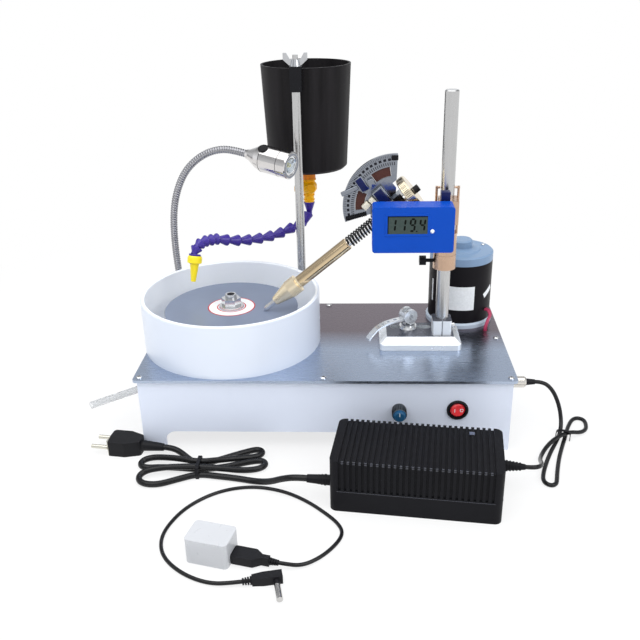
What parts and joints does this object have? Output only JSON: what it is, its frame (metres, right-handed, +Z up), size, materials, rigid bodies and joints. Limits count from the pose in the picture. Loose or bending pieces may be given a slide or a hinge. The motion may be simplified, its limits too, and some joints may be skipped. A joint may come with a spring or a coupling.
{
  "type": "gem faceting machine",
  "caption": "Bench gem faceting machine: flat lap in a splash bowl, belt drive, mast with swinging quill and angle display, drip tank with jointed hose, lamp and power adapter.",
  "frame": {"origin": "on the bench, below the middle of the rectangular deck", "axes": "+X to the right along the deck, from bowl to motor; +Y to the back; +Z up"},
  "size_m": [0.5566, 0.5195, 0.3902],
  "materials": {
    "deck_metal": "brushed",
    "white_panel": "satin",
    "steel_bright": "polished",
    "white_bowl": "satin",
    "clear_tube": "gloss",
    "machined_steel": "machined",
    "lap_grey": "ground",
    "pulley_metal": "machined",
    "belt_rubber": "matte",
    "black_metal": "semi-gloss",
    "cast_grey": "cast",
    "red_lead": "satin",
    "knob_grey": "satin",
    "circuit_board": "satin",
    "black_plastic": "satin",
    "red_plastic": "gloss",
    "cord_black": "satin",
    "polished_aluminium": "polished",
    "satin_steel": "satin",
    "copper_tone": "polished",
    "brass_tone": "polished",
    "blue_plastic": "gloss",
    "lcd_glass": "gloss",
    "head_chrome": "polished",
    "spring_steel": "oiled",
    "orange_plastic": "gloss",
    "violet_plastic": "satin",
    "yellow_plastic": "gloss",
    "neck_steel": "ribbed",
    "satin_aluminium": "satin"
  },
  "bodies": {
    "base": {"top_plate": "deck_metal", "front_panel": "white_panel", "base_shell": "white_panel", "plate_screws": "steel_bright", "splash_bowl": "white_bowl", "drain_tube": "clear_tube", "spindle_housing": "machined_steel", "motor_can": "black_metal", "motor_ends": "cast_grey", "motor_leads": "red_lead", "drive_belt": "belt_rubber", "speed_control": "circuit_board", "switch_body": "black_plastic", "power_socket": "steel_bright", "clamp_stud": "steel_bright", "tank_rod": "satin_steel", "power_plug": "black_plastic", "dc_cord": "cord_black", "adapter_case": "black_plastic", "adapter_boots": "black_plastic", "mains_cord": "cord_black", "mains_plug": "black_plastic", "lamp_lead": "cord_black", "lamp_lead_plugs": "black_plastic", "usb_charger": "white_bowl"},
    "lap": {"spindle": "machined_steel", "lap_disc": "lap_grey", "lap_nut": "steel_bright", "driven_pulley": "pulley_metal"},
    "rotor": {"motor_rotor": "machined_steel", "motor_pulley": "pulley_metal"},
    "foot": {"mast_foot": "polished_aluminium", "mast_rod": "satin_steel"},
    "clamp_lever": {"cam_lever": "steel_bright"},
    "collar": {"stop_collar": "copper_tone"},
    "collar_knob": {"collar_screw": "black_metal"},
    "carriage": {"carriage_sleeve": "brass_tone", "display_case": "blue_plastic", "display_lcd": "lcd_glass"},
    "zero_button": {"display_button": "white_bowl"},
    "head": {"quill_block": "head_chrome", "angle_sector": "head_chrome", "quill_spring": "spring_steel"},
    "quill": {"quill_tube": "brass_tone"},
    "quill_core": {"quill_shaft": "satin_steel", "index_wheel": "brass_tone", "quill_chuck": "brass_tone", "dop_stick": "brass_tone"},
    "lamp": {"lamp_neck": "neck_steel", "lamp_head": "satin_aluminium"},
    "lamp_push": {"lamp_button": "black_plastic"},
    "tank": {"drip_tank": "black_plastic", "tank_clamp": "black_plastic", "tank_valve": "orange_plastic", "coolant_hose": "violet_plastic", "hose_nozzle": "yellow_plastic"},
    "tank_nut": {"wing_nut": "steel_bright"},
    "tap": {"valve_tap": "orange_plastic"},
    "knob": {"speed_knob": "knob_grey"},
    "rocker": {"switch_rocker": "red_plastic"}
  },
  "joints": [
    {"name": "lap_spin", "type": "hinge", "parent": "base", "child": "lap", "pos_m": [-0.107, 0, 0.1], "axis": [0, 0, 1], "continuous": true},
    {"name": "motor_spin", "type": "hinge", "parent": "base", "child": "rotor", "pos_m": [0.1576, 0.0635, 0.1], "axis": [0, 0, 1], "continuous": true},
    {"name": "foot_slide", "type": "slide", "parent": "base", "child": "foot", "axis": [1, 0, 0], "range_m": [-0.012, 0.015]},
    {"name": "clamp_lever", "type": "hinge", "parent": "base", "child": "clamp_lever", "pos_m": [0.093, 0.002, 0.113], "axis": [-0.4695, 0.8829, 0], "range_deg": [0, 100]},
    {"name": "collar_height", "type": "slide", "parent": "foot", "child": "collar", "axis": [0, 0, 1], "range_m": [0, 0.07]},
    {"name": "collar_screw", "type": "hinge", "parent": "collar", "child": "collar_knob", "pos_m": [0.115, -0.0115, 0.18377], "axis": [-1, 0, 0], "continuous": true},
    {"name": "carriage_swing", "type": "hinge", "parent": "collar", "child": "carriage", "pos_m": [0.1292, -0.0115, 0.22], "axis": [0, 0, 1], "range_deg": [-10, 10]},
    {"name": "zero_button", "type": "slide", "parent": "carriage", "child": "zero_button", "axis": [0, 1, 0], "range_m": [0, 0.0012], "stiffness_N_per_m": 400, "springref_m": -0.0006},
    {"name": "quill_tilt", "type": "hinge", "parent": "carriage", "child": "head", "pos_m": [0.0752, -0.0115, 0.24457], "axis": [0, 1, 0], "range_deg": [0, 42]},
    {"name": "quill_push", "type": "slide", "parent": "head", "child": "quill", "axis": [0.7716, 0, 0.6361], "range_m": [0, 0.006], "stiffness_N_per_m": 900, "springref_m": -0.002, "deforming": ["quill_spring"]},
    {"name": "quill_spin", "type": "hinge", "parent": "quill", "child": "quill_core", "pos_m": [0.0752, -0.0115, 0.24457], "axis": [0.7716, 0, 0.6361], "continuous": true},
    {"name": "lamp_swing", "type": "hinge", "parent": "base", "child": "lamp", "pos_m": [-0.184, 0.092, 0.085], "axis": [0, 0, 1], "range_deg": [-8, 6]},
    {"name": "lamp_button", "type": "slide", "parent": "lamp", "child": "lamp_push", "axis": [0.136, 0.4619, -0.8764], "range_m": [0, 0.001], "stiffness_N_per_m": 500, "springref_m": -0.0006},
    {"name": "tank_swing", "type": "hinge", "parent": "base", "child": "tank", "pos_m": [-0.032, 0.0825, 0.3], "axis": [0, 0, 1], "range_deg": [-15, 20]},
    {"name": "wing_nut", "type": "hinge", "parent": "tank", "child": "tank_nut", "pos_m": [-0.032, 0.0825, 0.38], "axis": [0, 0, 1], "continuous": true},
    {"name": "drip_tap", "type": "hinge", "parent": "tank", "child": "tap", "pos_m": [-0.0402, 0.1405, 0.2265], "axis": [1, 0, 0], "range_deg": [0, 90]},
    {"name": "speed_knob", "type": "hinge", "parent": "base", "child": "knob", "pos_m": [0.079, -0.1, 0.049], "axis": [0, -1, 0], "range_deg": [-270, 0]},
    {"name": "power_rocker", "type": "hinge", "parent": "base", "child": "rocker", "pos_m": [0.14, -0.09537, 0.049], "axis": [0, 0, 1], "range_deg": [-12, 0]}
  ],
  "couplings": [
    {"joint": "motor_spin", "follows": "lap_spin", "ratio": 1.4624}
  ]
}
